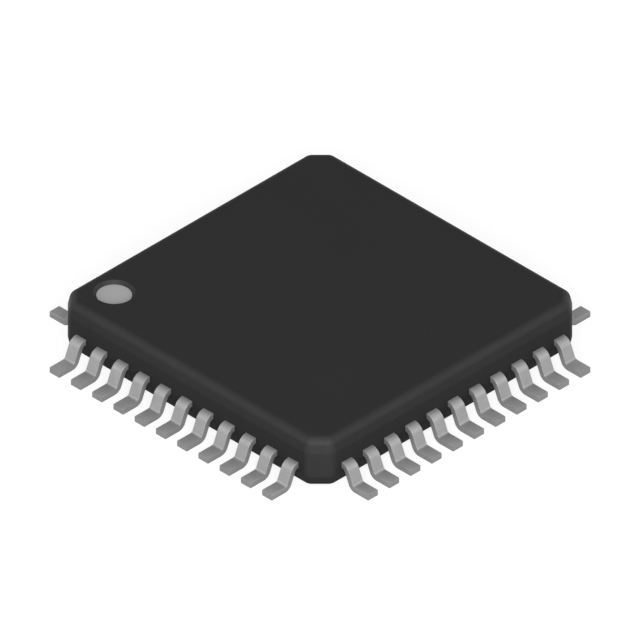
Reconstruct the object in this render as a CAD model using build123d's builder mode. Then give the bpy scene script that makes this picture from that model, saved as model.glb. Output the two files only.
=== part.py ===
from build123d import *
import os
from math import cos, radians, sin, sqrt

# A quad flat package: a moulded body with a row of gull-wing leads on each of its four sides.
# Inside, a chip sits on a paddle, and fine wires join it to the fanned ends of the leads.
# The origin is the middle of the package on the board. +Z is up, and pin one is at -X, +Y.
# Lengths are in millimetres and angles in degrees.

# Lead rows
leads_per_side = 11
lead_pitch = 0.80
lead_width = 0.37
lead_thickness = 0.18
corner_margin = 1.00  # from the middle of an end lead to the wall beside it

# Gull-wing bend of a lead
lead_reach = 1.00  # from the wall to the end of the foot
frame_height = 0.65  # from the body's underside to the top of the lead frame
shoulder_radius = 0.13  # inside of the upper bend
heel_radius = 0.085  # inside of the lower bend
bend_angle = 67.0

# Fan of a lead inside the body
anchor_depth = 0.50  # straight stretch behind the wall
tip_gap = 0.30  # from the paddle to the bonding tips
tip_width = 0.25
tip_pitch = 0.45

# Moulded body
standoff = 0.10  # from the board to the underside
body_thickness = 1.50
corner_chamfer = 0.50
corner_round = 0.30
draft_angle = 12.0
upper_band_height = 0.423  # from the upright wall to the top
lower_band_height = 0.34  # from the underside to the upright wall
top_round = 0.25
bottom_round = 0.16

# Pin-one dimple and its ink
dimple_inset = 1.25  # from the wall of the pin-one row to the middle of the dimple
dimple_rim_diameter = 1.11
dimple_floor_diameter = 1.00
dimple_depth = 0.115
ink_thickness = 0.02

# Marks that the mould's ejector pins leave on the underside, at two opposite corners
ejector_mark_diameter = 1.20
ejector_mark_depth = 0.05
ejector_mark_inset = 1.60  # from the walls to the middle of a mark

# Paddle and its tie bars
paddle_width = 5.20
paddle_downset = 0.20  # from the plane of the leads down to the paddle
tie_bar_width = 0.20
tie_bar_ramp = 0.25  # level length of the sloping stretch
tie_bar_cover = 0.15  # plastic left between a tie bar and the corner

# Chip, its adhesive and its wires
die_width = 3.60
die_thickness = 0.28
attach_margin = 0.05
attach_thickness = 0.03
bond_pad_inset = 0.12
bond_pad_pitch = 0.30
wire_diameter = 0.03
wire_sides = 5  # flats that stand for its round section
wire_rise = 0.16  # straight up from the chip
loop_rise = 0.04  # further up to the top of the loop
loop_run = 0.40  # level length of the top of the loop
landing_inset = 0.12  # from the end of a bonding tip to its wire

# Sizes that follow from those above
body_width = lead_pitch * (leads_per_side - 1) + 2 * corner_margin
wall_x = body_width / 2
anchor_x = wall_x - anchor_depth
foot_tip_x = wall_x + lead_reach
body_top = standoff + body_thickness
wall_top = body_top - upper_band_height
wall_bottom = standoff + lower_band_height
frame_top = standoff + frame_height
frame_bottom = frame_top - lead_thickness
bend_drop = (shoulder_radius + heel_radius + lead_thickness) * (1 - cos(radians(bend_angle)))
slope_length = (frame_bottom - bend_drop) / sin(radians(bend_angle))
tip_x = paddle_width / 2 + tip_gap
landing_pitch = tip_pitch + (lead_pitch - tip_pitch) * landing_inset / (anchor_x - tip_x)
paddle_top = frame_top - paddle_downset
die_bottom = paddle_top + attach_thickness
die_top = die_bottom + die_thickness
dimple_x = -wall_x + dimple_inset
dimple_y = wall_x - corner_margin
ejector_mark_place = wall_x - ejector_mark_inset

# The sides in pin order, each with the direction its leads point in, turned from +X.
side_angles = {"west": 180, "south": 270, "east": 0, "north": 90}

# The places of a side's leads, in pitches from the middle of their row.
row_places = [place - (leads_per_side - 1) / 2 for place in range(leads_per_side)]


def side_plane(angle):
    """Gives a level plane with +X out through one side and +Y along its row in pin order."""
    return Plane.XY.rotated((0, 0, angle))


def upright_plane(level_plane, across):
    """Gives a plane that stands on a level one, with +X kept and +Y up, at a place along its row."""
    middle = level_plane.from_local_coords((0, across, 0))
    return Plane(origin=middle, x_dir=level_plane.x_dir, z_dir=-level_plane.y_dir)


def strip_edge(height, upper_radius, lower_radius):
    """Draws one long edge of a bent lead: the run out of the wall, shoulder, slope, heel and foot."""
    run = Line((anchor_x, height), (wall_x, height))
    shoulder = JernArc(run @ 1, run % 1, upper_radius, -bend_angle)
    slope = PolarLine(shoulder @ 1, slope_length, -bend_angle)
    heel = JernArc(slope @ 1, slope % 1, lower_radius, bend_angle)
    foot = Line(heel @ 1, (foot_tip_x, (heel @ 1).Y))
    return run @ 0, foot @ 1


def make_lead(level_plane, row_place):
    """Makes one lead at its place in the row: the bent strip outside and the fanned strip inside."""
    across = row_place * lead_pitch
    tip_across = row_place * tip_pitch
    with BuildPart() as lead:
        with BuildSketch(upright_plane(level_plane, across)):
            with BuildLine():
                upper_start, upper_end = strip_edge(
                    frame_top, shoulder_radius + lead_thickness, heel_radius
                )
                lower_start, lower_end = strip_edge(
                    frame_bottom, shoulder_radius, heel_radius + lead_thickness
                )
                Line(upper_start, lower_start)
                Line(upper_end, lower_end)
            make_face()
        extrude(amount=lead_width / 2, both=True)
        with BuildSketch(level_plane.offset(frame_bottom)):
            with BuildLine():
                Polyline(
                    (anchor_x, across - lead_width / 2),
                    (tip_x, tip_across - tip_width / 2),
                    (tip_x, tip_across + tip_width / 2),
                    (anchor_x, across + lead_width / 2),
                    close=True,
                )
            make_face()
        extrude(amount=lead_thickness)
    return lead.part


def make_bond_wires(level_plane):
    """Makes the wires of one side, each up from the chip, over in a low loop and down to its lead."""
    loop_top = die_top + wire_rise + loop_rise
    with BuildPart() as wires:
        for place in row_places:
            start = Vector(die_width / 2 - bond_pad_inset, place * bond_pad_pitch)
            landing = Vector(tip_x + landing_inset, place * landing_pitch)
            heading = (landing - start).normalized()
            reach = (landing - start).length
            fall = (loop_top - frame_top) / (reach - loop_run)
            # The route runs on through the lead's top, and the split then trims it flush.
            stops = [
                (0, die_top),
                (0, die_top + wire_rise),
                (loop_run, loop_top),
                (reach + wire_diameter / fall, frame_top - wire_diameter),
            ]
            points = [start + heading * along + Vector(0, 0, height) for along, height in stops]
            world_points = [level_plane.from_local_coords(point) for point in points]
            with BuildLine():
                route = Polyline(*world_points)
            with BuildSketch(Plane(origin=route @ 0, x_dir=level_plane.x_dir, z_dir=(0, 0, 1))):
                RegularPolygon(radius=wire_diameter / 2, side_count=wire_sides)
            sweep(path=route, transition=Transition.RIGHT)
        split(bisect_by=Plane.XY.offset(frame_top), keep=Keep.TOP)
    return wires.part


leads = []
bond_wires = {}
for side, angle in side_angles.items():
    row_plane = side_plane(angle)
    for row_place in row_places:
        lead = make_lead(row_plane, row_place)
        lead.label = f"lead_{len(leads) + 1:02d}"
        leads.append(lead)
    wires = make_bond_wires(row_plane)
    wires.label = f"bond_wires_{side}"
    bond_wires[side] = wires

# The paddle lies below the plane of the leads, and its tie bars ramp up to that plane.
with BuildPart() as die_pad:
    with BuildSketch(Plane.XY.offset(paddle_top - lead_thickness)):
        Rectangle(paddle_width, paddle_width)
    extrude(amount=lead_thickness)
    paddle_corner = paddle_width / 2 * sqrt(2)
    ramp_start = paddle_corner + tie_bar_width / 2
    ramp_end = ramp_start + tie_bar_ramp
    bar_end = (body_width - corner_chamfer) / sqrt(2) - tie_bar_cover
    for quarter in range(4):
        with BuildSketch(upright_plane(side_plane(45 + 90 * quarter), 0)):
            with BuildLine():
                Polyline(
                    (paddle_corner - tie_bar_width, paddle_top),
                    (ramp_start, paddle_top),
                    (ramp_end, frame_top),
                    (bar_end, frame_top),
                    (bar_end, frame_bottom),
                    (ramp_end, frame_bottom),
                    (ramp_start, paddle_top - lead_thickness),
                    (paddle_corner - tie_bar_width, paddle_top - lead_thickness),
                    close=True,
                )
            make_face()
        extrude(amount=tie_bar_width / 2, both=True)
die_pad.part.label = "die_pad"

with BuildPart() as die_attach:
    with BuildSketch(Plane.XY.offset(paddle_top)):
        Rectangle(die_width + 2 * attach_margin, die_width + 2 * attach_margin)
    extrude(amount=attach_thickness)
die_attach.part.label = "die_attach"

with BuildPart() as silicon_die:
    with BuildSketch(Plane.XY.offset(die_bottom)):
        Rectangle(die_width, die_width)
    extrude(amount=die_thickness)
silicon_die.part.label = "silicon_die"

# The ink lies on the floor of the dimple, which stands in line with the first lead.
with BuildPart() as pin_one_dot:
    with BuildSketch(Plane((dimple_x, dimple_y, body_top - dimple_depth))):
        Circle(dimple_floor_diameter / 2)
    extrude(amount=ink_thickness)
pin_one_dot.part.label = "pin_one_dot"

with BuildSketch() as body_plan:
    Rectangle(body_width, body_width)
    chamfer(body_plan.vertices(), corner_chamfer)
    fillet(body_plan.vertices(), corner_round)


def make_band(height, rim_round):
    """Makes a band of the body that narrows upwards from its full plan and ends in a rounded rim."""
    with BuildPart() as band:
        with BuildSketch():
            add(body_plan.sketch)
        extrude(amount=height)
        sides = band.faces().filter_by(Axis.Z, reverse=True)
        draft(sides, neutral_plane=Plane.XY, angle=draft_angle)
        fillet(band.faces().sort_by(Axis.Z)[-1].edges(), rim_round)
    return band.part


upper_band = make_band(upper_band_height, top_round)
lower_band = make_band(lower_band_height, bottom_round)

# The body has an upright wall between its two drafted bands.
# It is moulded round the pieces inside, so it holds a cavity of exactly their shape.
with BuildPart() as mould_body:
    with BuildSketch(Plane.XY.offset(wall_bottom)):
        add(body_plan.sketch)
    extrude(amount=wall_top - wall_bottom)
    with Locations((0, 0, wall_top)):
        add(upper_band)
    with Locations(Location((0, 0, wall_bottom), (180, 0, 0))):
        add(lower_band)
    with Locations((dimple_x, dimple_y, body_top)):
        Cone(
            bottom_radius=dimple_floor_diameter / 2,
            top_radius=dimple_rim_diameter / 2,
            height=dimple_depth,
            align=(Align.CENTER, Align.CENTER, Align.MAX),
            mode=Mode.SUBTRACT,
        )
    with BuildSketch(Plane.XY.offset(standoff)):
        for corner in (-1, 1):
            with Locations((corner * ejector_mark_place, corner * ejector_mark_place)):
                Circle(ejector_mark_diameter / 2)
    extrude(amount=ejector_mark_depth, mode=Mode.SUBTRACT)
    add([*leads, *bond_wires.values()], mode=Mode.SUBTRACT)
    add([die_pad.part, die_attach.part, silicon_die.part], mode=Mode.SUBTRACT)
mould_body.part.label = "mould_body"

os.makedirs("parts", exist_ok=True)
pieces = [
    mould_body.part,
    pin_one_dot.part,
    die_pad.part,
    die_attach.part,
    silicon_die.part,
    *bond_wires.values(),
    *leads,
]
for piece in pieces:
    export_step(piece, f"parts/{piece.label}.step")
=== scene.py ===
"""Dresses a packed quad flat package: its moulded body, its gull-wing leads and its pin-one mark.

Pieces are modelled in millimetres and brought to metres as they are finished. +Z is up, the board
lies at Z = 0, and pin one is at -X, +Y.
"""

import logging
from collections.abc import Iterable, Sequence
from dataclasses import dataclass
from enum import Enum
from math import atan, cos, degrees, pi, radians, sin, sqrt, tan

import bmesh
import bpy
from bmesh.types import BMEdge, BMesh, BMFace, BMVert
from bpy.types import Material, Node, NodeSocket, NodeTree
from mathutils import Matrix, Vector


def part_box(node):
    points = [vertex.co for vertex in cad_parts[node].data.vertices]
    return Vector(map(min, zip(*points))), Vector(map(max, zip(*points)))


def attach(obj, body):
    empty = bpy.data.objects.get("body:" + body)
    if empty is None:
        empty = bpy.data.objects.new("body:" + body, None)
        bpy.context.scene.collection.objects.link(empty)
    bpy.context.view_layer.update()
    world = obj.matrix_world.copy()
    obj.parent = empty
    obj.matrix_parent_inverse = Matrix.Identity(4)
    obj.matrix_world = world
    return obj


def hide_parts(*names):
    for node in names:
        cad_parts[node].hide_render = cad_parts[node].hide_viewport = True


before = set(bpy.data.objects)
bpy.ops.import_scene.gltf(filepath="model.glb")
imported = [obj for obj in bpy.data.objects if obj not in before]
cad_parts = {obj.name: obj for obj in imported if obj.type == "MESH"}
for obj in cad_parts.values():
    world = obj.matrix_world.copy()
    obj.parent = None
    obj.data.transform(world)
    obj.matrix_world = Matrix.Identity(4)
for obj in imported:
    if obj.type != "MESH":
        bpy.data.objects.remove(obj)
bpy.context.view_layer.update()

log = logging.getLogger("package")

MM = 0.001  # one millimetre in the frame's metres
BODY = "root"  # the one body that every piece rides on
LEADS_PER_SIDE = 11
WHITE = "#ffffff"
SHARP_ANGLE = 35.0  # an edge that turns further than this is shaded as a crease, in degrees
SIDE_TOLERANCE = 1.0  # how far a wall's face may look away from its side's direction, in degrees
CUT_TOLERANCE = 1e-5  # how near a cut a point counts as on it, in millimetres
MOTTLE_LOW, MOTTLE_HIGH = 0.3, 0.7  # most of a mottle lies between these
CORNER_SHARES = sqrt(3)  # what the normal's shares add up to where a surface faces three ways alike
WEAR_AND_HIGHLIGHT_CURVE = 1.135  # the power of a surface's slant by which its rubbing and painted highlight grow
DOWNWARD_TILT = -0.25  # the normal's Z at which a surface faces down too far to be rubbed or get the painted highlight, so it stays darker, as a face turned from the light would
LEAST_PATCH = 0.85  # the share of its full rubbing and painted highlight that the least patch has


class Side(Enum):
    """The sides in pin order, each with the direction its leads point in, turned from +X in degrees."""

    WEST = 180
    SOUTH = 270
    EAST = 0
    NORTH = 90

    def turn(self) -> Matrix:
        """Gives the turn from a row laid out along +Y, with its leads towards +X, to this side."""
        return Matrix.Rotation(radians(self.value), 4, "Z")


class Slot(Enum):
    """The record's material slots for the dressed pieces; this script doesn't give them to the pieces."""

    COMPOUND = "mould_compound"
    LEAD = "plated_lead"
    INK = "marking_ink"


class Ray(Enum):
    """The kinds of ray that see a plain white studio, named as the Light Path node's outputs."""

    CAMERA = "Is Camera Ray"
    GLOSSY = "Is Glossy Ray"
    TRANSMISSION = "Is Transmission Ray"


def linear(colour: str) -> tuple[float, float, float, float]:
    """Turns an sRGB hex colour to linear light, by the standard's own curve.

    Args:
        colour: the colour as "#rrggbb".

    Returns:
        Red, green, blue and a full alpha.
    """
    shares = [int(colour[start:start + 2], 16) / 255 for start in (1, 3, 5)]
    light = [share / 12.92 if share <= 0.04045 else ((share + 0.055) / 1.055) ** 2.4 for share in shares]
    return (light[0], light[1], light[2], 1.0)


def add_node(tree: NodeTree, kind: str, inputs: dict[str, object] | None = None, **settings: str) -> Node:
    """Adds a node with its settings, its values and its links.

    Args:
        tree: the node tree it goes into.
        kind: the node's type name.
        inputs: what each input takes, by the input's identifier: an output socket to link, or a value.
        **settings: the node's own properties.

    Returns:
        The new node.
    """
    node = tree.nodes.new(kind)
    for name, value in settings.items():
        setattr(node, name, value)
    sockets = {socket.identifier: socket for socket in node.inputs}
    for name, value in (inputs or {}).items():
        if isinstance(value, NodeSocket):
            tree.links.new(value, sockets[name])
        else:
            sockets[name].default_value = value
    return node


def per_metre(size: float) -> float:
    """Gives the texture scale at which one cell of a pattern is the given size in millimetres."""
    return 1 / (size * MM)


def node_box(node: str) -> tuple[Vector, Vector]:
    """Gives a CAD node's lowest and highest corner in millimetres."""
    low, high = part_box(node)
    return low / MM, high / MM


@dataclass(frozen=True)
class Finish:
    """A surface finish: one Principled shader, whose pattern a subclass lays on it."""

    name: str
    colour: str
    roughness: float
    metallic: float = 0.0
    specular_level: float = 0.5
    colour_spread: float = 0.04  # how far the colour varies each way, as a share of it
    roughness_spread: float = 0.04  # how far the roughness varies each way

    def material(self) -> Material:
        """Makes the material.

        Returns:
            A new material with its pattern linked to the shader.
        """
        material = bpy.data.materials.new(self.name)
        material.use_nodes = True
        tree = material.node_tree
        tree.nodes.clear()
        fixed = {"Metallic": self.metallic, "Specular IOR Level": self.specular_level}
        shader = add_node(tree, "ShaderNodeBsdfPrincipled", fixed)
        add_node(tree, "ShaderNodeOutputMaterial", {"Surface": shader.outputs["BSDF"]})
        place = add_node(tree, "ShaderNodeTexCoord").outputs["Object"]
        sockets = {socket.identifier: socket for socket in shader.inputs}
        for name, source in self.pattern(tree, place).items():
            tree.links.new(source, sockets[name])
        return material

    def pattern(self, tree: NodeTree, place: NodeSocket) -> dict[str, NodeSocket]:
        """Lays the finish's pattern.

        Args:
            tree: the material's node tree.
            place: the point on the piece, in metres.

        Returns:
            The outputs that drive the shader, by the shader's input.
        """
        raise NotImplementedError

    def mottle(self, tree: NodeTree, place: NodeSocket, size: float) -> NodeSocket:
        """Gives an even mottle from 0 to 1 whose patches are about the given size in millimetres."""
        inputs = {"Vector": place, "Scale": per_metre(size)}
        return add_node(tree, "ShaderNodeTexNoise", inputs).outputs["Fac"]

    def between(self, tree: NodeTree, share: NodeSocket, low: float, high: float) -> NodeSocket:
        """Spreads a mottle's usual span over the values from low to high."""
        span = {"From Min": MOTTLE_LOW, "From Max": MOTTLE_HIGH, "To Min": low, "To Max": high}
        return add_node(tree, "ShaderNodeMapRange", {"Value": share, **span}).outputs["Result"]

    def tinted(self, tree: NodeTree, share: NodeSocket) -> NodeSocket:
        """Varies the finish's colour by its spread.

        Args:
            tree: the material's node tree.
            share: the mottle that the colour follows.

        Returns:
            The varied colour.
        """
        value = self.between(tree, share, 1 - self.colour_spread, 1 + self.colour_spread)
        inputs = {"Color": linear(self.colour), "Value": value}
        return add_node(tree, "ShaderNodeHueSaturation", inputs).outputs["Color"]

    def roughened(self, tree: NodeTree, share: NodeSocket) -> NodeSocket:
        """Varies the finish's roughness by its spread, as a mottle goes."""
        low, high = self.roughness - self.roughness_spread, self.roughness + self.roughness_spread
        return self.between(tree, share, low, high)

    def raised(self, tree: NodeTree, height: NodeSocket, depth: float) -> NodeSocket:
        """Raises the surface by a height from 0 to 1, whose full depth is given in millimetres."""
        inputs = {"Height": height, "Distance": depth * MM, "Strength": 1.0}
        return add_node(tree, "ShaderNodeBump", inputs).outputs["Normal"]


@dataclass(frozen=True)
class WearAndHighlightFinish(Finish):
    """A finish that is made paler and smoother on slanting faces and edges, and most on corners: partly
    rubbed, and partly a painted highlight where those faces turn towards the light.
    """

    wear_and_highlight_size: float = 0.35  # size of the patches that are rubbed and painted lighter more and less
    wear_and_highlight_paling: float = 0.0  # how much paler full rubbing and the painted highlight make it, as a share of its colour
    wear_polish: float = 0.0  # how much smoother full wear makes it

    def worn_and_highlit(self, tree: NodeTree, place: NodeSocket) -> NodeSocket:
        """Finds how far the surface is rubbed, and how much painted highlight it gets, by how far it
        slants.

        Args:
            tree: the material's node tree.
            place: the point on the piece, in metres.

        Returns:
            0 on the faces that lie square to the body, more on its slanting faces and rounded edges, and
            patchily up to 1 on its upper corners; less on faces that look down, which stay darker, as faces
            turned from the light would.
        """
        facing = add_node(tree, "ShaderNodeTexCoord").outputs["Normal"]
        unsigned = add_node(tree, "ShaderNodeVectorMath", {"Vector": facing}, operation="ABSOLUTE")
        shares = {"Vector": unsigned.outputs["Vector"], "Vector_001": (1.0, 1.0, 1.0)}
        total = add_node(tree, "ShaderNodeVectorMath", shares, operation="DOT_PRODUCT").outputs["Value"]
        slant = {"Value": total, "From Min": 1.0, "From Max": CORNER_SHARES}
        slanting = add_node(tree, "ShaderNodeMapRange", slant).outputs["Result"]
        curve = {"Value": slanting, "Value_001": WEAR_AND_HIGHLIGHT_CURVE}
        wear_and_highlight = add_node(tree, "ShaderNodeMath", curve, operation="POWER").outputs["Value"]
        # faces that look down get less rubbing and less painted highlight, so they stay darker as if turned
        # from the light
        tilt = add_node(tree, "ShaderNodeSeparateXYZ", {"Vector": facing}).outputs["Z"]
        downward_range = {"Value": tilt, "From Min": DOWNWARD_TILT, "From Max": 0.0}
        not_downward = add_node(tree, "ShaderNodeMapRange", downward_range).outputs["Result"]
        patches = self.between(tree, self.mottle(tree, place, self.wear_and_highlight_size), LEAST_PATCH, 1.0)
        for share in (not_downward, patches):
            product = {"Value": wear_and_highlight, "Value_001": share}
            wear_and_highlight = add_node(tree, "ShaderNodeMath", product, operation="MULTIPLY").outputs["Value"]
        return wear_and_highlight

    def paler(self, tree: NodeTree, colour: NodeSocket, wear_and_highlight: NodeSocket) -> NodeSocket:
        """Makes a colour paler where the surface is rubbed and where a highlight is painted.

        Args:
            tree: the material's node tree.
            colour: the colour of the unworn surface.
            wear_and_highlight: how far it is rubbed and painted lighter, from 0 to 1.

        Returns:
            The colour with the rubbing and the painted highlight on it.
        """
        # the paling is partly rubbing and partly a painted highlight
        paling = {"Value": wear_and_highlight, "To Min": 1.0, "To Max": 1 + self.wear_and_highlight_paling}
        value = add_node(tree, "ShaderNodeMapRange", paling).outputs["Result"]
        inputs = {"Color": colour, "Value": value}
        return add_node(tree, "ShaderNodeHueSaturation", inputs).outputs["Color"]

    def smoother(self, tree: NodeTree, roughness: NodeSocket, wear_and_highlight: NodeSocket) -> NodeSocket:
        """Makes a surface smoother where it is rubbed."""
        inputs = {"Value": wear_and_highlight, "Value_001": -self.wear_polish, "Value_002": roughness}
        return add_node(tree, "ShaderNodeMath", inputs, operation="MULTIPLY_ADD").outputs["Value"]


@dataclass(frozen=True)
class MouldingCompound(WearAndHighlightFinish):
    """Epoxy moulding compound, pressed against spark-eroded steel: dark grey, dead matt and finely pitted.

    Its cut corners and rounded rims are rubbed a little paler and smoother in trays and feeders, and are
    painted paler still as a painted highlight where they turn towards the light.
    """

    name: str = "moulded_epoxy_compound"
    colour: str = "#272727"
    roughness: float = 0.60
    specular_level: float = 0.045  # the pits scatter nearly all of its shine
    colour_spread: float = 0.03
    roughness_spread: float = 0.05
    wear_and_highlight_size: float = 0.35
    # mostly a painted highlight on the rims and cut corners, with a little real rubbing
    wear_and_highlight_paling: float = 1.06
    wear_polish: float = 0.17
    pit_size: float = 0.055  # half as wide again as the real pits, so that they show
    pit_depth: float = 0.009
    flow_size: float = 1.8

    def pattern(self, tree: NodeTree, place: NodeSocket) -> dict[str, NodeSocket]:
        """Lays fine pits over a faint cloudiness, where the compound flowed across the mould.

        Args:
            tree: the material's node tree.
            place: the point on the piece, in metres.

        Returns:
            The outputs that drive the shader, by the shader's input.
        """
        pits = self.mottle(tree, place, self.pit_size)
        flow = self.mottle(tree, place, self.flow_size)
        # the slanting faces and rims are made paler: partly rubbing, partly painted highlight
        wear_and_highlight = self.worn_and_highlit(tree, place)
        return {
            "Base Color": self.paler(tree, self.tinted(tree, flow), wear_and_highlight),
            "Roughness": self.smoother(tree, self.roughened(tree, pits), wear_and_highlight),
            "Normal": self.raised(tree, pits, self.pit_depth),
        }


@dataclass(frozen=True)
class TinPlating(WearAndHighlightFinish):
    """Matt tin, plated on rolled copper alloy strip: a satin grey with faint lines along the strip.

    The forming tool leaves the bends, slopes and rounded edges a little brighter and smoother, and they are
    painted brighter still as a painted highlight where they turn towards the light.
    """

    name: str = "matt_tin_plating"
    colour: str = "#828282"
    roughness: float = 0.54
    metallic: float = 0.45  # its crystals scatter the rest of the light, as a paint does
    colour_spread: float = 0.05
    roughness_spread: float = 0.06
    wear_and_highlight_size: float = 0.2
    # partly burnish, partly a painted highlight on the bends and slopes
    wear_and_highlight_paling: float = 0.22
    wear_polish: float = 0.085
    grain_size: float = 0.05  # the tin's crystals are about 0.005 mm, which is too fine to show
    grain_depth: float = 0.0012
    cloud_size: float = 0.35
    line_spacing: float = 0.04  # twice as wide as the real lines, so that they show
    line_length: float = 1.2

    def pattern(self, tree: NodeTree, place: NodeSocket) -> dict[str, NodeSocket]:
        """Lays the tin's fine grain over the strip's rolling lines, which run along X on every lead.

        Args:
            tree: the material's node tree.
            place: the point on the piece, in metres.

        Returns:
            The outputs that drive the shader, by the shader's input.
        """
        grain = self.mottle(tree, place, self.grain_size)
        cloud = self.mottle(tree, place, self.cloud_size)
        stretch = (per_metre(self.line_length), per_metre(self.line_spacing), per_metre(self.line_spacing))
        along = add_node(tree, "ShaderNodeMapping", {"Vector": place, "Scale": stretch}).outputs["Vector"]
        lines = add_node(tree, "ShaderNodeTexNoise", {"Vector": along, "Scale": 1.0}).outputs["Fac"]
        # the bends, slopes and edges are made paler: partly burnish, partly painted highlight
        wear_and_highlight = self.worn_and_highlit(tree, place)
        return {
            "Base Color": self.paler(tree, self.tinted(tree, cloud), wear_and_highlight),
            "Roughness": self.smoother(tree, self.roughened(tree, lines), wear_and_highlight),
            "Normal": self.raised(tree, grain, self.grain_depth),
        }


@dataclass(frozen=True)
class GrainedFinish(Finish):
    """An unworn finish: one grain varies the colour and the gloss and roughens the skin."""

    grain_size: float = 0.05  # coarser than the real grain, which is too fine to show
    grain_depth: float = 0.0003

    def pattern(self, tree: NodeTree, place: NodeSocket) -> dict[str, NodeSocket]:
        """Lays the grain on the colour, the gloss and the height.

        Args:
            tree: the material's node tree.
            place: the point on the piece, in metres.

        Returns:
            The outputs that drive the shader, by the shader's input.
        """
        grain = self.mottle(tree, place, self.grain_size)
        return {
            "Base Color": self.tinted(tree, grain),
            "Roughness": self.roughened(tree, grain),
            "Normal": self.raised(tree, grain, self.grain_depth),
        }


# Epoxy marking ink, dabbed into the dimple and cured: pale grey, matt and slightly uneven.
MARKING_INK = GrainedFinish(
    "cured_marking_ink", "#9b9b9b", 0.55, specular_level=0.3, colour_spread=0.03, roughness_spread=0.05,
    grain_depth=0.001,
)
# Rolled copper alloy, stamped and left bare: a warm satin metal.
BARE_STRIP = GrainedFinish("bare_copper_strip", "#c98f6c", 0.38, metallic=1.0)
# Silver-filled adhesive, squeezed out and cured: pale grey with a flaky gleam.
SILVER_ADHESIVE = GrainedFinish("silver_filled_adhesive", "#bab9b0", 0.45, metallic=0.6)
# Silicon, ground and polished: dark blue-grey and nearly a mirror.
POLISHED_SILICON = GrainedFinish(
    "polished_silicon", "#595c66", 0.12, roughness_spread=0.02, grain_depth=0.00002,
)
# Gold, drawn to fine wire: bright yellow and smooth.
DRAWN_GOLD = GrainedFinish("drawn_gold_wire", "#e6c878", 0.25, metallic=1.0, grain_size=0.01)


def points(geometry: Iterable) -> list[BMVert]:
    """Picks the points out of an operator's result."""
    return [item for item in geometry if isinstance(item, BMVert)]


def faces(geometry: Iterable) -> list[BMFace]:
    """Picks the faces out of an operator's result."""
    return [item for item in geometry if isinstance(item, BMFace)]


def edges(geometry: Iterable) -> list[BMEdge]:
    """Picks the edges out of an operator's result."""
    return [item for item in geometry if isinstance(item, BMEdge)]


def region(chosen: Iterable[BMFace]) -> list:
    """Gives faces with their own edges and points, each once, as the operators take a region."""
    return list(dict.fromkeys(item for face in chosen for item in (face, *face.edges, *face.verts)))


def round_edges(bm: BMesh, chosen: Iterable[BMEdge], offset: float, segments: int) -> None:
    """Rounds edges.

    Args:
        bm: the mesh being shaped.
        chosen: the edges to round.
        offset: how far the rounding reaches along the faces beside each edge.
        segments: the flats in the rounding.
    """
    bmesh.ops.bevel(
        bm, geom=list(chosen), offset=offset, offset_type="OFFSET", affect="EDGES",
        segments=segments, profile=0.5, material=-1, clamp_overlap=False,
    )


def round_corners(bm: BMesh, corners: Iterable[BMVert], offset: float, segments: int) -> None:
    """Cuts or rounds the corners of a flat outline.

    Args:
        bm: the mesh being shaped.
        corners: the corner points.
        offset: how far each cut reaches along the sides of its corner.
        segments: the flats in a rounding, or 1 for a straight cut.
    """
    bmesh.ops.bevel(
        bm, geom=list(corners), offset=offset, offset_type="OFFSET", affect="VERTICES",
        segments=segments, profile=0.5, material=-1, clamp_overlap=False,
    )


def inset(bm: BMesh, face: BMFace, margin: float, rise: float = 0.0) -> None:
    """Parts a face from a margin round it. A face with a flat margin stays shaded flat.

    Args:
        bm: the mesh being shaped.
        face: the face, which becomes the part inside the margin.
        margin: the margin's width.
        rise: how far the face moves outwards, which makes the margin slope.
    """
    bmesh.ops.inset_region(
        bm, faces=[face], thickness=margin, depth=rise, use_boundary=True, use_even_offset=True,
    )


def push(bm: BMesh, end: BMFace, step: Vector) -> BMFace:
    """Extrudes a face straight.

    Args:
        bm: the mesh being shaped.
        end: the face to extrude.
        step: the way it goes.

    Returns:
        The face at the new end.
    """
    made = bmesh.ops.extrude_face_region(bm, geom=region([end]))["geom"]
    bmesh.ops.translate(bm, verts=points(made), vec=step)
    return faces(made)[0]


def bend(bm: BMesh, end: BMFace, centre: Vector, angle: float, steps: int) -> BMFace:
    """Extrudes a face round a bend whose axis runs along the row.

    Args:
        bm: the mesh being shaped.
        end: the face to extrude.
        centre: a point on the bend's axis.
        angle: how far it turns, in degrees, downwards if positive.
        steps: the flats in the bend.

    Returns:
        The face at the new end.
    """
    made = bmesh.ops.spin(
        bm, geom=region([end]), cent=centre, axis=(0, 1, 0), angle=radians(angle), steps=steps,
        use_merge=False, use_duplicate=False,
    )["geom_last"]
    return faces(made)[0]


def finish_piece(bm: BMesh, name: str, stands_for: str, material: Material) -> None:
    """Makes a shaped mesh a dressed piece of the object.

    Args:
        bm: the shaped mesh in millimetres, which is freed.
        name: the piece's name.
        stands_for: the CAD node that it stands for.
        material: its finish.
    """
    bmesh.ops.recalc_face_normals(bm, faces=bm.faces)
    for face in bm.faces:
        face.smooth = True
    for edge in bm.edges:
        edge.smooth = edge.calc_face_angle(pi) < radians(SHARP_ANGLE)
    bmesh.ops.scale(bm, vec=(MM, MM, MM), verts=bm.verts)
    mesh = bpy.data.meshes.new(name)
    bm.to_mesh(mesh)
    bm.free()
    mesh.materials.append(material)
    piece = bpy.data.objects.new(name, mesh)
    bpy.context.scene.collection.objects.link(piece)
    shading = piece.modifiers.new("flat_faces_stay_flat", "WEIGHTED_NORMAL")
    shading.keep_sharp = True
    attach(piece, BODY)
    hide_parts(stands_for)
    log.info("%s stands for %s with %d faces", name, stands_for, len(mesh.polygons))


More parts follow.
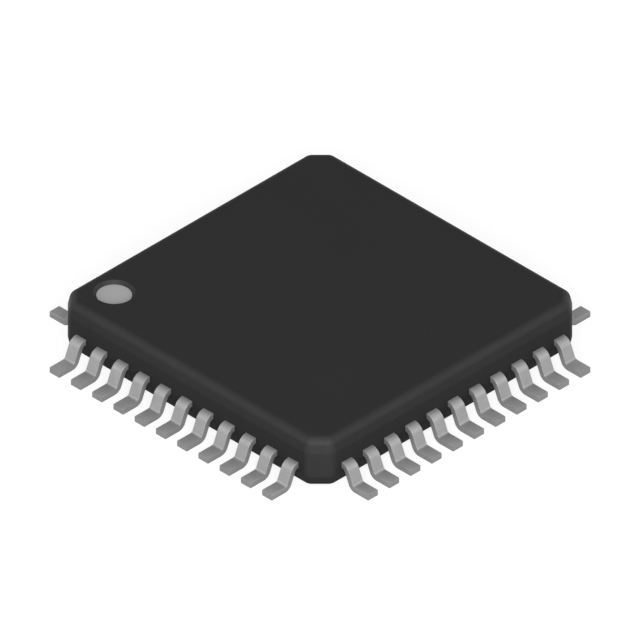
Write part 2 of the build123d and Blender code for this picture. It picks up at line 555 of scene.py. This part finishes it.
@dataclass(frozen=True)
class LeadRow:
    """A row of gull-wing leads, laid out along Y with the leads towards +X.

    Each lead is one stamped and bent strip, from its bonding tip in the body to its solder foot.
    """

    width: float
    frame_top: float  # level of the strip's upper side in the body
    pitch: float
    wall: float  # how far out the body's wall stands
    foot_tip: float  # how far out the foot ends
    bonding_tip: float  # how far out the bonding tip ends
    thickness: float = 0.18
    shoulder_radius: float = 0.13
    heel_radius: float = 0.085
    bend_angle: float = 67.0
    bend_steps: int = 10
    anchor_depth: float = 0.50
    tip_width: float = 0.25
    tip_pitch: float = 0.45
    die_roll: float = 0.014  # rounding that the punch leaves on the upper corners of the strip
    die_roll_segments: int = 3
    sheared_edge: float = 0.010  # rounding left on its lower corners by deburring
    edge_segments: int = 2
    cut_edge: float = 0.006  # rounding round the trimmed end of the foot
    flat_margin: float = 0.002  # strip round the face of that end, which keeps it shaded flat

    @classmethod
    def from_frame(cls) -> "LeadRow":
        """Takes the row's sizes from the middle lead of the west row, the lead below it and the body.

        Returns:
            The row.
        """
        low, high = node_box("lead_06")
        next_low, _ = node_box("lead_07")
        _, body_high = node_box("mould_body")
        return cls(
            width=high.y - low.y,
            frame_top=high.z,
            pitch=low.y - next_low.y,
            wall=body_high.x,
            foot_tip=-low.x,
            bonding_tip=-high.x,
        )

    @property
    def anchor(self) -> float:
        """Where the straight strip inside the wall ends and its fan starts."""
        return self.wall - self.anchor_depth

    @property
    def frame_bottom(self) -> float:
        """The underside of the strip inside the body."""
        return self.frame_top - self.thickness

    def places(self) -> list[float]:
        """Gives the places of the leads, in pitches from the middle of the row."""
        return [place - (LEADS_PER_SIDE - 1) / 2 for place in range(LEADS_PER_SIDE)]

    def section(self, bm: BMesh, across: float) -> BMFace:
        """Draws the strip's section where its fan starts.

        Args:
            bm: the mesh to draw it in.
            across: the strip's place along the row.

        Returns:
            The section's face, which looks outwards.
        """
        upright = Matrix(((0, 0, 1, 0), (1, 0, 0, 0), (0, 1, 0, 0), (0, 0, 0, 1)))
        middle = Vector((self.anchor, across, (self.frame_top + self.frame_bottom) / 2))
        half_sizes = Matrix.Diagonal((self.width / 2, self.thickness / 2, 1, 1))
        matrix = Matrix.Translation(middle) @ upright @ half_sizes
        bmesh.ops.create_grid(bm, x_segments=1, y_segments=1, size=1, matrix=matrix)
        upper = [vert for vert in bm.verts if vert.co.z > middle.z]
        lower = [vert for vert in bm.verts if vert.co.z < middle.z]
        round_corners(bm, upper, self.die_roll, self.die_roll_segments)
        round_corners(bm, lower, self.sheared_edge, self.edge_segments)
        return bm.faces[:][0]

    def lead(self, place: float) -> BMesh:
        """Bends one lead.

        Args:
            place: its place in the row, in pitches from the middle.

        Returns:
            The lead's mesh, in the row's own directions.
        """
        across = place * self.pitch
        turn = radians(self.bend_angle)
        down_slope = Vector((cos(turn), 0, -sin(turn)))
        off_slope = Vector((sin(turn), 0, cos(turn)))
        bend_drop = (self.shoulder_radius + self.heel_radius + self.thickness) * (1 - cos(turn))
        slope_length = (self.frame_bottom - bend_drop) / sin(turn)
        shoulder = Vector((self.wall, 0, self.frame_bottom - self.shoulder_radius))
        slope_end = shoulder + off_slope * self.shoulder_radius + down_slope * slope_length
        heel = slope_end + off_slope * (self.heel_radius + self.thickness)

        bm = bmesh.new()
        start = self.section(bm, across)
        end = push(bm, start, Vector((self.anchor_depth, 0, 0)))
        end = bend(bm, end, shoulder, self.bend_angle, self.bend_steps)
        end = push(bm, end, down_slope * slope_length)
        end = bend(bm, end, heel, -self.bend_angle, self.bend_steps)
        end = push(bm, end, Vector((self.foot_tip - heel.x, 0, 0)))
        round_edges(bm, end.edges, self.cut_edge, self.edge_segments)
        inset(bm, max(bm.faces, key=lambda face: face.calc_center_median().x), self.flat_margin)
        self.fan(bm, start, place)
        return bm

    def fan(self, bm: BMesh, start: BMFace, place: float) -> None:
        """Draws the strip inwards from its anchor to its narrower bonding tip.

        Args:
            bm: the lead's mesh.
            start: the face at the anchor.
            place: the lead's place in the row.
        """
        across = place * self.pitch
        tip = push(bm, start, Vector((self.bonding_tip - self.anchor, 0, 0)))
        narrowing = (1, self.tip_width / self.width, 1)
        bmesh.ops.scale(bm, vec=narrowing, space=Matrix.Translation((0, -across, 0)), verts=tip.verts)
        bmesh.ops.translate(bm, vec=(0, place * self.tip_pitch - across, 0), verts=tip.verts)

    def build(self, material: Material) -> None:
        """Builds the leads of all four sides in pin order.

        Args:
            material: their finish.
        """
        number = 0
        for side in Side:
            for place in self.places():
                number += 1
                bm = self.lead(place)
                bmesh.ops.transform(bm, matrix=side.turn(), verts=bm.verts)
                name, node = f"formed_lead_{number:02d}", f"lead_{number:02d}"
                finish_piece(bm, name, node, material)


@dataclass(frozen=True)
class Recess:
    """A round recess in a level face."""

    x: float
    y: float
    rim_diameter: float
    floor_diameter: float
    depth: float
    softening: float = 0.010  # rounding of its rim and of the corner round its floor
    softening_segments: int = 3
    segments: int = 64  # the flats round it


@dataclass(frozen=True)
class MouldedBody:
    """The moulded body: an upright wall between two drafted bands with rounded rims."""

    width: float
    bottom: float
    top: float
    leads: LeadRow
    dimple: Recess
    dimple_rim_diameter: float = 1.11
    corner_chamfer: float = 0.50
    corner_round: float = 0.30
    corner_segments: int = 6
    draft_angle: float = 12.0
    upper_band_height: float = 0.423
    lower_band_height: float = 0.34
    top_round: float = 0.25
    bottom_round: float = 0.16
    rim_segments: int = 10
    break_softening: float = 0.008  # rounding where a band meets the upright wall
    break_segments: int = 2
    flat_margin: float = 0.02  # strip round a level face, which keeps it shaded flat
    ejector_mark_diameter: float = 1.20
    ejector_mark_depth: float = 0.05
    ejector_mark_inset: float = 1.60

    @classmethod
    def from_frame(cls, leads: LeadRow) -> "MouldedBody":
        """Takes the body's sizes from its node, and its dimple's from the ink that lies in it.

        Args:
            leads: the leads that it holds.

        Returns:
            The body.
        """
        low, high = node_box("mould_body")
        ink_low, ink_high = node_box("pin_one_dot")
        ink_middle = (ink_low + ink_high) / 2
        dimple = Recess(
            x=ink_middle.x,
            y=ink_middle.y,
            rim_diameter=cls.dimple_rim_diameter,
            floor_diameter=ink_high.x - ink_low.x,
            depth=high.z - ink_low.z,
        )
        return cls(width=high.x - low.x, bottom=low.z, top=high.z, leads=leads, dimple=dimple)

    def plan(self, bm: BMesh, height: float) -> BMFace:
        """Draws the body's outline: a square with cut and rounded corners.

        Args:
            bm: the mesh to draw it in.
            height: the level it lies on.

        Returns:
            The outline's face.
        """
        matrix = Matrix.Translation((0, 0, height))
        bmesh.ops.create_grid(bm, x_segments=1, y_segments=1, size=self.width / 2, matrix=matrix)
        round_corners(bm, bm.verts, self.corner_chamfer, 1)
        corner_turn = radians(45)
        round_corners(bm, bm.verts, self.corner_round * tan(corner_turn / 2), self.corner_segments)
        return bm.faces[:][0]

    def band(self, bm: BMesh, start: BMFace, height: float, rim_round: float) -> BMFace:
        """Raises a drafted band with a rounded rim from the wall's level face.

        Args:
            bm: the body's mesh.
            start: the level face it rises from.
            height: the band's height.
            rim_round: the radius of its rim.

        Returns:
            The band's level face.
        """
        draft = radians(self.draft_angle)
        outward = start.normal.copy()
        break_edges = list(start.edges)
        inset(bm, start, height * tan(draft), height)
        rim_turn = radians(90) - draft
        round_edges(bm, start.edges, rim_round * tan(rim_turn / 2), self.rim_segments)
        round_edges(bm, break_edges, self.break_softening, self.break_segments)
        return max(bm.faces, key=lambda face: face.calc_area() * face.normal.dot(outward))

    def sink(self, bm: BMesh, level: BMFace, recesses: Sequence[Recess]) -> None:
        """Opens round recesses in a level face.

        Args:
            bm: the body's mesh.
            level: the face that they open in.
            recesses: the recesses.
        """
        inset(bm, level, self.flat_margin)
        height = level.calc_center_median().z
        inward = -level.normal.z
        outline = list(level.edges)
        bmesh.ops.delete(bm, geom=[level], context="FACES_ONLY")
        margins = []
        for recess in recesses:
            ring = bmesh.ops.create_circle(
                bm, segments=recess.segments, radius=recess.rim_diameter / 2 + self.flat_margin,
                matrix=Matrix.Translation((recess.x, recess.y, height)),
            )["verts"]
            margins.append(list(dict.fromkeys(edge for vert in ring for edge in vert.link_edges)))
        outline += [edge for margin in margins for edge in margin]
        bmesh.ops.triangle_fill(bm, edges=outline, use_beauty=True, normal=(0, 0, -inward))
        for recess, margin in zip(recesses, margins):
            margin_diameter = recess.rim_diameter + 2 * self.flat_margin
            rim_share = recess.rim_diameter / margin_diameter
            floor_share = recess.floor_diameter / recess.rim_diameter
            rim = self.step_in(bm, margin, recess, rim_share, 0)
            floor = self.step_in(bm, rim, recess, floor_share, inward * recess.depth)
            bmesh.ops.contextual_create(bm, geom=floor)
            round_edges(bm, rim + floor, recess.softening, recess.softening_segments)

    def step_in(
        self, bm: BMesh, ring: list[BMEdge], recess: Recess, narrowing: float, rise: float
    ) -> list[BMEdge]:
        """Extrudes a ring of edges to a narrower one.

        Args:
            bm: the body's mesh.
            ring: the ring.
            recess: the recess whose middle it narrows towards.
            narrowing: the new ring's share of its diameter.
            rise: how far the new ring is moved up.

        Returns:
            The new ring.
        """
        made = bmesh.ops.extrude_edge_only(bm, edges=ring)["geom"]
        middle = Matrix.Translation((-recess.x, -recess.y, 0))
        bmesh.ops.scale(bm, vec=(narrowing, narrowing, 1), space=middle, verts=points(made))
        bmesh.ops.translate(bm, vec=(0, 0, rise), verts=points(made))
        return edges(made)

    def cut(self, bm: BMesh, wall: list, place: Vector, across: Vector) -> list:
        """Cuts a wall's faces along a plane.

        Args:
            bm: the body's mesh.
            wall: the wall's faces, edges and points.
            place: a point on the plane.
            across: the direction square to the plane.

        Returns:
            The wall's faces, edges and points after the cut.
        """
        made = bmesh.ops.bisect_plane(bm, geom=wall, dist=CUT_TOLERANCE, plane_co=place, plane_no=across)
        return made["geom"]

    def open_pockets(self, bm: BMesh, side: Side) -> None:
        """Sinks one side's pockets, in which the leads are held.

        Args:
            bm: the body's mesh.
            side: the side to open.
        """
        turn = side.turn()
        outward, along, up = (turn @ Vector(axis) for axis in ((1, 0, 0), (0, 1, 0), (0, 0, 1)))
        least_outward = cos(radians(SIDE_TOLERANCE))
        wall = region(face for face in bm.faces if face.normal.dot(outward) > least_outward)
        row = [place * self.leads.pitch for place in self.leads.places()]
        for middle in row:
            for edge in (middle - self.leads.width / 2, middle + self.leads.width / 2):
                wall = self.cut(bm, wall, along * edge, along)
        for height in (self.leads.frame_bottom, self.leads.frame_top):
            wall = self.cut(bm, wall, up * height, up)
        mouths = []
        for face in faces(wall):
            middle = face.calc_center_median()
            beside_strip = self.leads.frame_bottom < middle.z < self.leads.frame_top
            if beside_strip and any(abs(middle.dot(along) - place) < self.leads.width / 2 for place in row):
                mouths.append(face)
        made = bmesh.ops.extrude_face_region(bm, geom=region(mouths))["geom"]
        bmesh.ops.translate(bm, vec=-outward * self.leads.anchor_depth, verts=points(made))

    def build(self, material: Material) -> None:
        """Builds the body from its wall, its top and its underside, and opens the leads' pockets.

        Args:
            material: its finish.
        """
        bm = bmesh.new()
        wall_bottom = self.bottom + self.lower_band_height
        wall_top = self.top - self.upper_band_height
        outline = self.plan(bm, wall_bottom)
        upper = push(bm, outline, Vector((0, 0, wall_top - wall_bottom)))
        bmesh.ops.recalc_face_normals(bm, faces=bm.faces)
        level_top = self.band(bm, upper, self.upper_band_height, self.top_round)
        self.sink(bm, level_top, [self.dimple])
        underside = min(bm.faces, key=lambda face: face.calc_area() * face.normal.z)
        level_bottom = self.band(bm, underside, self.lower_band_height, self.bottom_round)
        mark_place = self.width / 2 - self.ejector_mark_inset
        marks = [
            Recess(
                corner * mark_place, corner * mark_place,
                self.ejector_mark_diameter, self.ejector_mark_diameter, self.ejector_mark_depth,
            )
            for corner in (-1, 1)
        ]
        self.sink(bm, level_bottom, marks)
        for side in Side:
            self.open_pockets(bm, side)
        finish_piece(bm, "moulded_body", "mould_body", material)


@dataclass(frozen=True)
class PinOneInk:
    """The disc of ink on the dimple's floor, with the low bead that drying leaves round its edge."""

    x: float
    y: float
    floor_diameter: float
    bottom: float
    top: float
    bare_edge: float = 0.018  # how far the ink stays clear of the dimple's wall
    bead_width: float = 0.05
    dish_depth: float = 0.004
    edge_round: float = 0.008
    edge_segments: int = 3
    segments: int = 64  # the flats round it

    @classmethod
    def from_frame(cls) -> "PinOneInk":
        """Takes the disc's place and sizes from its node.

        Returns:
            The disc.
        """
        low, high = node_box("pin_one_dot")
        middle = (low + high) / 2
        return cls(x=middle.x, y=middle.y, floor_diameter=high.x - low.x, bottom=low.z, top=high.z)

    def build(self, material: Material) -> None:
        """Builds the disc.

        Args:
            material: its finish.
        """
        bm = bmesh.new()
        bmesh.ops.create_circle(
            bm, cap_ends=True, segments=self.segments, radius=self.floor_diameter / 2 - self.bare_edge,
            matrix=Matrix.Translation((self.x, self.y, self.bottom)),
        )
        skin = push(bm, bm.faces[:][0], Vector((0, 0, self.top - self.bottom)))
        bmesh.ops.recalc_face_normals(bm, faces=bm.faces)
        inset(bm, skin, self.bead_width, -self.dish_depth)
        rim_level = self.top - CUT_TOLERANCE
        rim = [edge for edge in bm.edges if all(vert.co.z > rim_level for vert in edge.verts)]
        round_edges(bm, rim, self.edge_round, self.edge_segments)
        finish_piece(bm, "pin_one_ink", "pin_one_dot", material)


@dataclass(frozen=True)
class SealedParts:
    """What is sealed inside the body: the paddle, the chip, its adhesive and the bond wires."""

    dressed: tuple[tuple[str, Finish], ...] = (
        ("die_pad", BARE_STRIP),
        ("die_attach", SILVER_ADHESIVE),
        ("silicon_die", POLISHED_SILICON),
        ("bond_wires_", DRAWN_GOLD),
    )

    def dress(self) -> None:
        """Gives each sealed CAD node its finish, by what its name starts with."""
        for start, finish in self.dressed:
            material = finish.material()
            for name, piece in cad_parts.items():
                if name.startswith(start):
                    for slot in piece.material_slots:
                        slot.material = material
                    log.info("%s is dressed as %s", name, finish.name)


def away(azimuth: float, elevation: float) -> Vector:
    """Gives the direction from the object towards a place in the studio.

    Args:
        azimuth: 0 is towards -Y and 90 towards +X, in degrees.
        elevation: the angle above the horizon, in degrees.

    Returns:
        A unit vector.
    """
    turn, rise = radians(azimuth), radians(elevation)
    return Vector((sin(turn) * cos(rise), -cos(turn) * cos(rise), sin(rise)))


@dataclass(frozen=True)
class Softbox:
    """A square softbox that looks at the object."""

    name: str
    azimuth: float
    elevation: float
    level: float  # how bright it makes a white card that faces it
    width: float = 120.0
    distance: float = 180.0

    def build(self) -> None:
        """Builds the lamp."""
        lamp = bpy.data.lights.new(self.name, "AREA")
        lamp.shape = "SQUARE"
        lamp.size = self.width * MM
        # The card gets the lamp's power over pi times the distance squared, and sends back 1 / pi of it.
        lamp.energy = self.level * pi**2 * (self.distance * MM) ** 2
        holder = bpy.data.objects.new(self.name, lamp)
        direction = away(self.azimuth, self.elevation)
        holder.location = direction * self.distance * MM
        holder.rotation_euler = direction.to_track_quat("Z", "Y").to_euler()
        bpy.context.scene.collection.objects.link(holder)


@dataclass(frozen=True)
class IsometricCamera:
    """A camera without perspective that looks along an isometric drawing's line of sight."""

    azimuth: float = -45.0
    elevation: float = degrees(atan(1 / sqrt(2)))
    aim_height: float = 0.806  # level of the point in the middle of the picture
    image_width: int = 640
    pixels_per_mm: float = 37.55
    distance: float = 120.0
    sight: float = 1200.0  # how far it sees

    def build(self) -> None:
        """Builds the camera and makes it the scene's."""
        lens = bpy.data.cameras.new("isometric_camera")
        lens.type = "ORTHO"
        lens.ortho_scale = self.image_width / self.pixels_per_mm * MM
        lens.clip_start = MM
        lens.clip_end = self.sight * MM
        camera = bpy.data.objects.new("isometric_camera", lens)
        direction = away(self.azimuth, self.elevation)
        camera.location = Vector((0, 0, self.aim_height * MM)) + direction * self.distance * MM
        camera.rotation_euler = direction.to_track_quat("Z", "Y").to_euler()
        bpy.context.scene.collection.objects.link(camera)
        bpy.context.scene.camera = camera


@dataclass(frozen=True)
class Studio:
    """A plain studio: a pale floor, an even white surround and softboxes."""

    boxes: tuple[Softbox, ...] = (
        Softbox("front_softbox", azimuth=-45, elevation=30, level=1.32),
        Softbox("left_softbox", azimuth=-135, elevation=24, level=0.31),
        Softbox("right_softbox", azimuth=45, elevation=24, level=0.31),
    )
    fill: float = 0.205  # how bright the surround makes the object
    floor_width: float = 800.0
    floor_colour: str = "#7c7c7c"
    floor_glow: float = 0.845  # what shows of the floor besides the light on it

    def brighter_where_seen(self, tree: NodeTree, plain: NodeSocket, bright: NodeSocket) -> NodeSocket:
        """Mixes what lights the object with what is seen.

        Args:
            tree: the node tree of the floor or the surround.
            plain: the shader for the rays that light the object.
            bright: the shader for the rays that see the studio, which are the kinds that Ray names.

        Returns:
            The mixed shader.
        """
        path = add_node(tree, "ShaderNodeLightPath")
        seen, *others = (path.outputs[ray.value] for ray in Ray)
        for other in others:
            either = {"Value": seen, "Value_001": other}
            seen = add_node(tree, "ShaderNodeMath", either, operation="MAXIMUM").outputs["Value"]
        inputs = {"Fac": seen, "Shader": plain, "Shader_001": bright}
        return add_node(tree, "ShaderNodeMixShader", inputs).outputs["Shader"]

    def build_surround(self) -> None:
        """Makes the world: white where it is seen, and dimmer as light on the object."""
        world = bpy.data.worlds.new("studio_surround")
        world.use_nodes = True
        tree = world.node_tree
        tree.nodes.clear()
        plain, bright = (
            add_node(tree, "ShaderNodeBackground", {"Color": linear(WHITE), "Strength": strength})
            for strength in (self.fill, 1.0)
        )
        mixed = self.brighter_where_seen(tree, plain.outputs["Background"], bright.outputs["Background"])
        add_node(tree, "ShaderNodeOutputWorld", {"Surface": mixed})
        bpy.context.scene.world = world

    def build_floor(self) -> None:
        """Builds the floor: a grey card that glows to white where it is seen, and keeps the shadow."""
        bm = bmesh.new()
        bmesh.ops.create_grid(bm, x_segments=1, y_segments=1, size=self.floor_width / 2 * MM)
        mesh = bpy.data.meshes.new("studio_floor")
        bm.to_mesh(mesh)
        bm.free()
        material = bpy.data.materials.new("backlit_card")
        material.use_nodes = True
        tree = material.node_tree
        tree.nodes.clear()
        card = add_node(tree, "ShaderNodeBsdfDiffuse", {"Color": linear(self.floor_colour)})
        glow = add_node(tree, "ShaderNodeEmission", {"Color": linear(WHITE), "Strength": self.floor_glow})
        both = {"Shader": card.outputs["BSDF"], "Shader_001": glow.outputs["Emission"]}
        backlit = add_node(tree, "ShaderNodeAddShader", both)
        mixed = self.brighter_where_seen(tree, card.outputs["BSDF"], backlit.outputs["Shader"])
        add_node(tree, "ShaderNodeOutputMaterial", {"Surface": mixed})
        mesh.materials.append(material)
        floor = bpy.data.objects.new("studio_floor", mesh)
        bpy.context.scene.collection.objects.link(floor)

    def build(self) -> None:
        """Builds the studio and its camera."""
        self.build_surround()
        self.build_floor()
        for box in self.boxes:
            box.build()
        IsometricCamera().build()
        bpy.context.scene.view_settings.view_transform = "Standard"


def main() -> None:
    """Builds and dresses the package, then sets up the studio round it."""
    logging.basicConfig(level=logging.INFO, format="%(name)s: %(message)s")
    leads = LeadRow.from_frame()
    MouldedBody.from_frame(leads).build(MouldingCompound().material())
    leads.build(TinPlating().material())
    PinOneInk.from_frame().build(MARKING_INK.material())
    SealedParts().dress()
    Studio().build()


if __name__ == "__main__":
    main()
